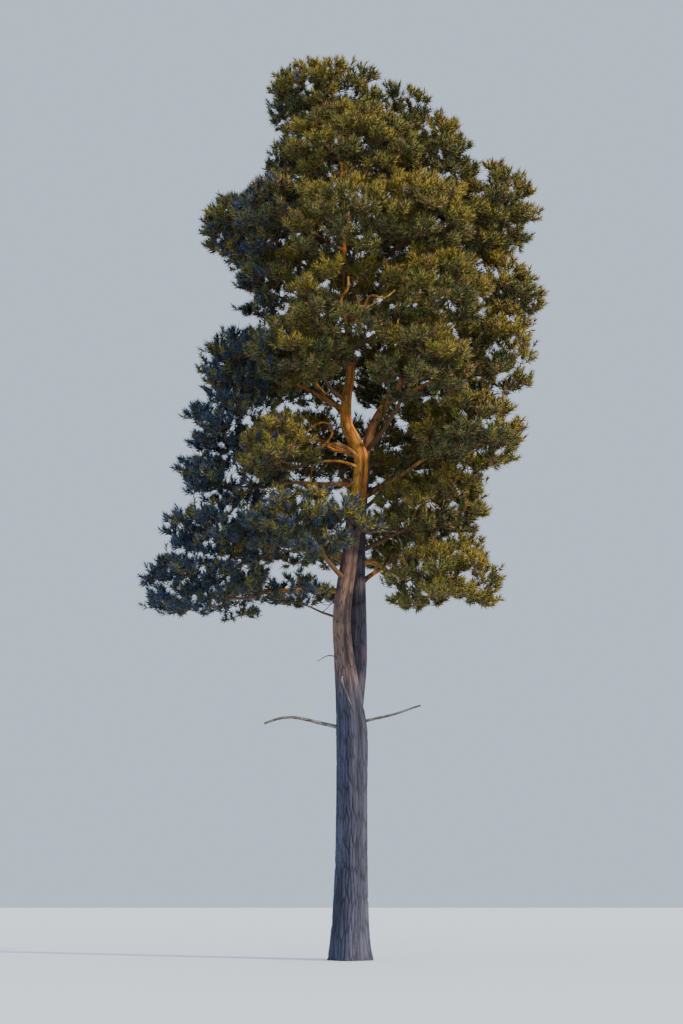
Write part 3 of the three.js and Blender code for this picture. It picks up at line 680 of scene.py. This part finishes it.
def tubes(lines, sides):
    """Vertices and quads of round tubes along lines that all have the same number of stations."""
    lines = np.asarray(lines, float)
    count, rows = lines.shape[:2]
    along = unit(np.gradient(lines[..., :3], axis=1))
    across, up = square_to(along, np.abs(along[:, :1, 2:]) > ALONG_AXIS)
    angle = np.arange(sides) * 2 * math.pi / sides
    ring = across[..., None, :] * np.cos(angle)[:, None] + up[..., None, :] * np.sin(angle)[:, None]
    verts = lines[..., None, :3] + ring * lines[..., None, 3:]
    return verts.reshape(-1, 3), ring_quads(np.arange(count * rows * sides).reshape(count, rows, sides))


def cones(roots, tips):
    """Three-sided cones, each from a root of x, y, z and radius to its tip."""
    lines = np.stack([roots, np.column_stack([tips, roots[:, 3]])], 1)
    verts, _ = tubes(lines, sides=3)
    verts = verts.reshape(-1, 6, 3)[:, :4].copy()
    verts[:, 3] = tips
    corner = np.arange(len(roots))[:, None] * 4
    tris = np.stack([corner + [0, 3, 1], corner + [1, 3, 2], corner + [2, 3, 0]], 1)
    return verts.reshape(-1, 3), tris.reshape(-1, 3)


def joined(parts):
    """Several lots of vertices and faces as one."""
    verts, faces, base = [], [], 0
    for some_verts, some_faces in parts:
        verts.append(some_verts)
        faces.append(some_faces + base)
        base += len(some_verts)
    return np.vstack(verts), np.vstack(faces)


# Bark
def plates(u, v, columns, rows, rng):
    """Cell pattern that closes round the limb: how far the nearest fissure is, and each plate's tone."""
    jitter = rng.random((rows + 4, columns, 2)) * PLATE.stray
    tone = rng.random((rows + 4, columns))
    cell_u, cell_v = np.floor(u).astype(int), np.floor(v).astype(int)
    best, second = np.full(u.shape, 9.0), np.full(u.shape, 9.0)
    best_tone = np.zeros(u.shape)
    for row in (-1, 0, 1):
        for column in (-1, 0, 1):
            at_row = np.clip(cell_v + row + 1, 0, rows + 3)
            at_column = (cell_u + column) % columns
            spot = jitter[at_row, at_column]
            away_u = cell_u + column + spot[..., 0] + PLATE.stagger * (at_row % 2) - u
            away_v = at_row - 1 + spot[..., 1] - v
            gap = np.hypot(away_u, away_v)
            nearer = gap < best
            second = np.where(nearer, best, np.minimum(second, gap))
            best_tone = np.where(nearer, tone[at_row, at_column], best_tone)
            best = np.where(nearer, gap, best)
    return second - best, best_tone


def plate_grid(line, angle, columns):
    """Where each vertex of a limb's skin lies among its plates, counted round it and along it."""
    step = np.linalg.norm(np.diff(line[:, :3], axis=0), axis=1)
    wide = 2 * math.pi * line[:, 3] / columns
    v = np.concatenate([[0], np.cumsum(step / (PLATE.longer * (wide[1:] + wide[:-1]) / 2))])
    return np.broadcast_arrays(angle / (2 * math.pi) * columns, v[:, None])


def wander(angle, v):
    """How far the plates stray round a limb, so that no row of them runs straight."""
    (broad, slow, turn), (narrow, quick, twist) = WANDER
    sway = broad * np.sin(v * slow + turn * np.sin(angle))
    return sway + narrow * np.sin(v * quick + twist * np.cos(angle * 2))


def plate_pattern(line, angle, columns, seed):
    """How clear of fissures and of cracks each vertex is, from 0 to 1, and its plate's tone."""
    rng = np.random.default_rng(seed)
    u, v = plate_grid(line, angle, columns)
    edge, tone = plates((u + wander(angle, v)) % columns, v, columns, int(v.max()) + 1, rng)
    around, along = CRACK.closer
    fine_columns, fine_rows = columns * around, int(v.max() * along) + 1
    fine, _ = plates(u * around % fine_columns, v * along, fine_columns, fine_rows, rng)
    return smoothstep(*PLATE.fissure, edge), smoothstep(0, CRACK.width, fine), tone


def fissure_depth(line, thin, deeper):
    """How deep the fissures are at each station: shallow, and deeper in the old bark of a stout limb."""
    old = 1 - smoothstep(*OLD_BARK.end, line[:, 2])
    return thin + deeper * old * np.minimum(1, line[:, 3] / OLD_BARK.stout)


def frames(line):
    """The two directions across a line at each station, carried along it without twist."""
    along = unit(np.gradient(line[:, :3], axis=0))
    side = np.array([0.0, 1, 0]) if abs(along[0, 0]) > ALONG_AXIS else np.array([1.0, 0, 0])
    sides = []
    for way in along:
        side = unit(side - way * side.dot(way))
        sides.append(side)
    sides = np.array(sides)
    return sides, np.cross(sides, along)


def bark_tube(line, bark, seed, form):
    """A limb's skin with its plates standing out of the fissures, and the values its colours read."""
    angle = np.arange(bark.around) * 2 * math.pi / bark.around
    plate, whole, tone = plate_pattern(line, angle, bark.plates, seed)
    depth = fissure_depth(line, *bark.fissures)[:, None]
    height = depth * (plate - 1) - CRACK.depth * depth * (1 - whole) * plate
    width, left = form(angle, line[:, 2:3])
    radius = line[:, 3:] * width + height
    side, across = frames(line)
    verts = line[:, None, :3] + side[:, None] * (radius * np.cos(angle))[..., None]
    verts = verts + across[:, None] * (radius * np.sin(angle))[..., None]
    # Where a seam leaves less of the plates, its bark takes fissure colour as painted shade
    return verts, plate * left, tone


def bark_age(verts, bark):
    """From 0 where bark is old and grey to 1 where it's young and orange."""
    age = np.full(verts.shape[:2], float(bark.age))
    for gain, low, high in bark.gains:
        age += gain * smoothstep(low, high, verts[..., 2])
    return age


def resampled(line, spacing, growth):
    """A line with its stations as far apart as a spacing that grows with their height."""
    step = np.linalg.norm(np.diff(line[:, :3], axis=0), axis=1)
    load = np.concatenate([[0], np.cumsum(step / (spacing + growth * line[1:, 2]))])
    wanted = np.linspace(0, load[-1], int(load[-1]) + 1)
    return np.column_stack([np.interp(wanted, load, line[:, k]) for k in range(4)])


def from_ground(line):
    """A line without the part that lies below the ground."""
    foot = [np.interp(0, line[:, 2], line[:, k]) for k in range(4)]
    return np.vstack([foot, line[line[:, 2] > 0]])


# Materials
def linear(colour):
    """A hex colour in linear light."""
    parts = [int(colour[n:n + 2], 16) / 255 for n in (1, 3, 5)]
    return [c / 12.92 if c <= 0.04045 else ((c + 0.055) / 1.055) ** 2.4 for c in parts] + [1]


def set_inputs(tree, node, inputs):
    """Sets a node's inputs to values or hex colours, or links them to outputs."""
    for key, value in inputs.items():
        if isinstance(value, bpy.types.NodeSocket):
            tree.links.new(value, node.inputs[key])
        else:
            node.inputs[key].default_value = linear(value) if isinstance(value, str) else value


def new_material(name):
    """A material, its tree and its shader."""
    material = bpy.data.materials.new(name)
    material.use_nodes = True
    tree = material.node_tree
    return material, tree, tree.nodes["Principled BSDF"]


def plain_material(name, colour, roughness, gloss=0.5):
    material, tree, shader = new_material(name)
    set_inputs(tree, shader, {"Base Color": colour, "Roughness": roughness, "Specular IOR Level": gloss})
    return material


def mix_colour(tree, share, low, high, blend="MIX"):
    """A mix of two colours, each a hex colour or an output."""
    node = tree.nodes.new("ShaderNodeMix")
    node.data_type = "RGBA"
    node.blend_type = blend
    set_inputs(tree, node, dict(zip(MIX_INPUTS, (share, low, high))))
    return node.outputs[MIX_OUTPUT]


def dulled(tree, colour, share, shade):
    """A colour as it is where a share is 1, and dulled by a shade where that is 0."""
    return mix_colour(tree, 1.0, colour, mix_colour(tree, share, shade, "#ffffff"), "MULTIPLY")


def attribute(tree, name):
    node = tree.nodes.new("ShaderNodeAttribute")
    node.attribute_name = name
    return node.outputs["Fac"]


def noise(tree, scale, detail, upwards):
    """Noise over the object, drawn out upwards where that is below 1."""
    place = tree.nodes.new("ShaderNodeTexCoord").outputs["Object"]
    mapping = tree.nodes.new("ShaderNodeMapping")
    set_inputs(tree, mapping, {"Scale": (1, 1, upwards), "Vector": place})
    node = tree.nodes.new("ShaderNodeTexNoise")
    set_inputs(tree, node, {"Scale": scale, "Detail": detail, "Vector": mapping.outputs["Vector"]})
    return node.outputs["Fac"]


def narrowed(tree, value, low, high):
    """A value spread over 0 to 1 from between low and high."""
    node = tree.nodes.new("ShaderNodeMapRange")
    node.interpolation_type = "SMOOTHSTEP"
    set_inputs(tree, node, {"From Min": low, "From Max": high, "Value": value})
    return node.outputs["Result"]


def bark_colour(tree, ages):
    """The colour of plates and fissures, from old bark by middling to young."""
    age, tone, plate = (attribute(tree, key) for key in ("age", "tone", "plate"))
    shades = []
    for fissure, dark, light in ages:
        patch = mix_colour(tree, tone, dark, light)
        shades.append(mix_colour(tree, plate, fissure, patch))
    old, middling, young = shades
    colour = mix_colour(tree, narrowed(tree, age, 0, 0.5), old, middling)
    return mix_colour(tree, narrowed(tree, age, 0.5, 1), colour, young)


def bark_material(name, ages, bump):
    """Bark in the colours of its three ages, with blotches, streaks and a fine grain."""
    material, tree, shader = new_material(name)
    colour = bark_colour(tree, ages)
    for scale, detail, upwards, low, high, shade in MARKS:
        mark = narrowed(tree, noise(tree, scale, detail, upwards), low, high)
        colour = dulled(tree, colour, mark, shade)
    grain = noise(tree, scale=60, detail=4, upwards=0.35)
    colour = dulled(tree, colour, grain, "#b4b4b4")
    relief = tree.nodes.new("ShaderNodeBump")
    set_inputs(tree, relief, {"Strength": bump, "Distance": 0.008, "Height": grain})
    set_inputs(tree, shader, {"Base Color": colour, "Roughness": 0.9, "Normal": relief.outputs["Normal"]})
    return material


# Barked limbs
def round_form(angle, z):
    """A round limb with no seam."""
    return 1, 1


def trunk_form(angle, z):
    """How the trunk's flare and seam change its width, and how much of the plates the seam leaves, which
    paints shade into the seam's groove.
    """
    off = (angle - SEAM.angle - SEAM.sway * np.sin(SEAM.often * z)) / SEAM.width
    seam = np.exp(-(off**2)) * smoothstep(*SEAM.heights, z)
    return flare(angle, z) * (1 - SEAM.depth * seam), 1 - SEAM.dark * seam


def limb_piece(name, line, kind, material, seed, form=round_form):
    bark = BARKS[kind]
    verts, plate, tone = bark_tube(line, bark, seed, form)
    values = {"plate": plate.ravel(), "tone": tone.ravel(), "age": bark_age(verts, bark).ravel()}
    faces = ring_quads(np.arange(plate.size).reshape(plate.shape))
    return mesh_object(name, verts.reshape(-1, 3), faces, material, True, values)


def make_trunk(material):
    line = resampled(from_ground(smoothed(TRUNK, FINE_STEPS.trunk)), *RING_SPACING.trunk)
    piece = limb_piece("trunk_bark", line, "trunk", material, SEEDS.trunk, trunk_form)
    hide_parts("trunk")


def make_second_stem(material):
    line = resampled(smoothed(SECOND_STEM, FINE_STEPS.second_stem), *RING_SPACING.second_stem)
    piece = limb_piece("second_stem_bark", line, "second_stem", material, SEEDS.second_stem)
    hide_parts("second_stem")


def make_boughs(masses, material):
    for mass in masses:
        if mass.bough is None:
            continue
        start, entry, radius, arch, seed = mass.bough
        line = limb_line(start, entry, radius, arch, FINE_STEPS.bough, seed)
        name = mass.name + "_bough"
        piece = limb_piece(name + "_bark", line, "bough", material, SEEDS.bough + seed)
        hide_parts(name)


def make_bare_limbs(young_bark, dead_wood):
    """Thin limbs with no needles, each from inside the limb that it leaves. The snags are dead."""
    for i, (name, (root, tip, places)) in enumerate(BARE_LIMBS.items()):
        radii = np.linspace(root, tip, len(places))
        line = smoothed(np.column_stack([places, radii]), FINE_STEPS.bare)
        dead = name.endswith("snag")
        piece = limb_piece(name, line, "bare", dead_wood if dead else young_bark, SEEDS.bare + i)


def make_dead_limbs(carriers, material):
    for i, (name, line) in enumerate(dead_lines(carriers, FINE_STEPS.dead)):
        piece = limb_piece(name + "_wood", line, "dead", material, SEEDS.dead + i)
        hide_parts(name)


def make_limbs(carriers, masses):
    """The trunk, the second stem and every other limb that shows its bark."""
    trunk_bark = bark_material("bark", [GREY_BARK, BROWN_BARK, ORANGE_BARK], bump=0.5)
    make_trunk(trunk_bark)
    make_second_stem(trunk_bark)
    young_bark = bark_material("young_bark", [BROWN_BARK, BOUGH_BARK, ORANGE_BARK], bump=0.4)
    dead_wood = bark_material("dead_wood", [DEAD_WOOD] * 3, bump=0.4)
    make_boughs(masses, young_bark)
    make_bare_limbs(young_bark, dead_wood)
    make_dead_limbs(carriers, dead_wood)


# Foliage
def needle_aims(way, share, rng):
    """Where pairs of needles point: all round their shoot, and closer to it towards its end."""
    across, up = square_to(way, np.abs(way[..., 2:]) > ALONG_AXIS)
    turn = np.arange(NEEDLES.pairs) * GOLDEN_ANGLE + TURN * rng.random((len(way), 1))
    opening = NEEDLES.spread - NEEDLES.closing * share ** NEEDLES.curve
    spread = np.radians(opening) + NEEDLES.uneven * rng.normal(size=turn.shape)
    aside = across * np.cos(turn)[..., None] + up * np.sin(turn)[..., None]
    return way * np.cos(spread)[..., None] + aside * np.sin(spread)[..., None]


def needle_pairs(shoots, rng):
    """Needles in pairs all round each shoot. A pair is two slim pointed blades that part from one foot."""
    root, way, length = shoots[:, None, :3], shoots[:, None, 3:6], shoots[:, 6]
    share = (np.arange(NEEDLES.pairs) + 0.5) / NEEDLES.pairs
    aim = needle_aims(way, share, rng)
    base = root + way * (NEEDLES.bare + NEEDLES.along * share)[:, None] * length[:, None, None]
    size = NEEDLES.length * varied(NEEDLES.lengths, rng, aim.shape[:2])[..., None]
    flat = unit(np.cross(aim, way))
    fold = np.cross(flat, aim)
    roll = TURN / 2 * rng.random(aim.shape[:2])[..., None]
    wide = (flat * np.cos(roll) + fold * np.sin(roll)) * NEEDLES.width / 2
    part = (fold * np.cos(roll) - flat * np.sin(roll)) * NEEDLES.parting * size
    end = base + aim * size
    return np.stack([base - wide, base + wide, end + part, end - part], 2).reshape(-1, 3)


def needle_tris(count):
    corner = np.arange(count)[:, None] * 4
    return np.stack([corner + [0, 1, 2], corner + [1, 0, 3]], 1).reshape(-1, 3)


def deal(shoots, depth, mass):
    """The colour of needles of each shoot: lighter out and up as painted light, darker inside as painted
    shade, bluer on the shaded side as painted shade, some bronze.
    """
    tone = shoots[:, 7]
    cool = 1 - smoothstep(*SHADED_EDGE, shoots[:, 0])
    cool = np.clip(cool, *SHADED_RANGE.get(mass.name, (0, 1)))
    lift = (shoots[:, 2] - mass.centre[2]) / mass.reach[2]
    light = LIGHT.up * lift + LIGHT.out * depth + LIGHT.tone * tone - LIGHT.less - LIGHT.cool * cool
    pick = np.clip((light * LIGHT.steps).astype(int), 0, GOLD)
    second = (tone * SECOND_DRAW) % 1
    pick = np.where((second > BRONZE_ABOVE) & (cool < 0.5), BRONZE, pick)
    slate = (tone * THIRD_DRAW) % 1 < 0.5
    return np.where(second < SHADED_SHARE * cool, BLUE + slate, pick)


def make_needles(shoots, k, material, names):
    """The needles of one colour, in as many pieces as keep each within the most faces."""
    verts = needle_pairs(shoots, np.random.default_rng(SEEDS.needles + k))
    parts = math.ceil(len(verts) / 2 / MOST_FACES)
    share = math.ceil(len(shoots) / parts) * NEEDLES.pairs * 4
    for n in range(parts):
        some = verts[n * share:(n + 1) * share]
        label = NEEDLE_COLOURS[k][0] + (f"_{n + 1}" if parts > 1 else "")
        piece = mesh_object("needles_" + label, some, needle_tris(len(some) // 4), material)
        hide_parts(*names)


def make_twigs(branchlets, sprigs, shoots, stems, material, names):
    """The stems of the masses with branchlets and sprigs, and the shoots as a piece of their own."""
    tips = shoots[:, :3] + shoots[:, 3:6] * shoots[:, 6:7]
    roots = np.hstack([shoots[:, :3], np.full((len(shoots), 1), SHOOT.radius)])
    by_length = {}
    for stem in stems:
        by_length.setdefault(len(stem), []).append(stem)
    parts = [tubes(some, sides=8) for some in by_length.values()]
    parts += [tubes(branchlets, sides=5), tubes(sprigs, sides=3)]
    pieces = {"stems_and_branchlets": joined(parts), "shoots": cones(roots, tips)}
    for name, (verts, faces) in pieces.items():
        piece = mesh_object(name, verts, faces, material, True)
        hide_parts(*names)


def make_foliage(crown):
    """The needles in their colours, and the twigs that carry them."""
    masses = crown.masses
    names = [mass.name for mass in masses]
    branchlets, sprigs, dealt = [], [], [[] for _ in NEEDLE_COLOURS]
    for mass in masses:
        some, more, shoots = grow(mass, crown)
        branchlets += some
        sprigs += more
        # How far out each shoot lies amid all masses: shoots deeper in get painted shade
        picks = deal(shoots, depths(shoots[:, :3], masses).min(1), mass)
        for k, lot in enumerate(dealt):
            lot.append(shoots[picks == k])
    lots = [np.vstack(lot) for lot in dealt]
    for k, (name, colour) in enumerate(NEEDLE_COLOURS):
        material = plain_material("needles_" + name, colour, roughness=0.6, gloss=0.25)
        make_needles(lots[k], k, material, names)
    stems = [mass.stem for mass in masses]
    twig = plain_material("twig", "#5c4126", roughness=0.85)
    make_twigs(branchlets, sprigs, np.vstack(lots), stems, twig, names)


# Stage
def make_floor():
    corners = [(-1, -1), (1, -1), (1, 1), (-1, 1)]
    corners = [(x * FLOOR_HALF, y * FLOOR_HALF, FLOOR_HEIGHT) for x, y in corners]
    mesh = bpy.data.meshes.new("floor")
    mesh.from_pydata(corners, [], [[0, 1, 2, 3]])
    mesh.materials.append(plain_material("floor_plain", "#d9dcdf", roughness=0.9))
    floor = placed("floor", mesh)


def make_sky():
    """A pale surrounding."""
    world = bpy.data.worlds.new("pale")
    world.use_nodes = True
    tree = world.node_tree
    shows = tree.nodes.new("ShaderNodeLightPath").outputs["Is Camera Ray"]
    strength = tree.nodes.new("ShaderNodeMapRange")
    set_inputs(tree, strength, {"To Min": SKY.light, "To Max": SKY.shown, "Value": shows})
    colour = mix_colour(tree, shows, SKY.light_colour, SKY.shown_colour)
    set_inputs(tree, tree.nodes["Background"], {"Strength": strength.outputs["Result"], "Color": colour})
    bpy.context.scene.world = world


def make_suns():
    """A low warm sun, and soft light from above."""
    for name, energy, spread, colour, tilt, turn in SUNS:
        sun = bpy.data.lights.new(name, "SUN")
        sun.energy = energy
        sun.angle = math.radians(spread)
        sun.color = colour
        lamp = placed(name, sun)
        lamp.rotation_euler = (math.radians(tilt), 0, math.radians(turn))


def make_camera():
    data = bpy.data.cameras.new("view")
    data.sensor_fit = "VERTICAL"
    data.sensor_width = data.sensor_height = 36
    data.lens = 62.75
    camera = placed("view", data)
    camera.location = (-0.17, -36, 1.6)
    camera.rotation_euler = (math.radians(90 + 11.545), 0, 0)
    bpy.context.scene.camera = camera


def main():
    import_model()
    make_camera()
    make_floor()
    make_sky()
    make_suns()
    carriers = {
        "trunk": smoothed(TRUNK, STEPS.trunk),
        "second_stem": smoothed(SECOND_STEM, STEPS.second_stem),
    }
    crown = plan_crown(carriers)
    make_limbs(carriers, crown.masses)
    make_foliage(crown)


main()
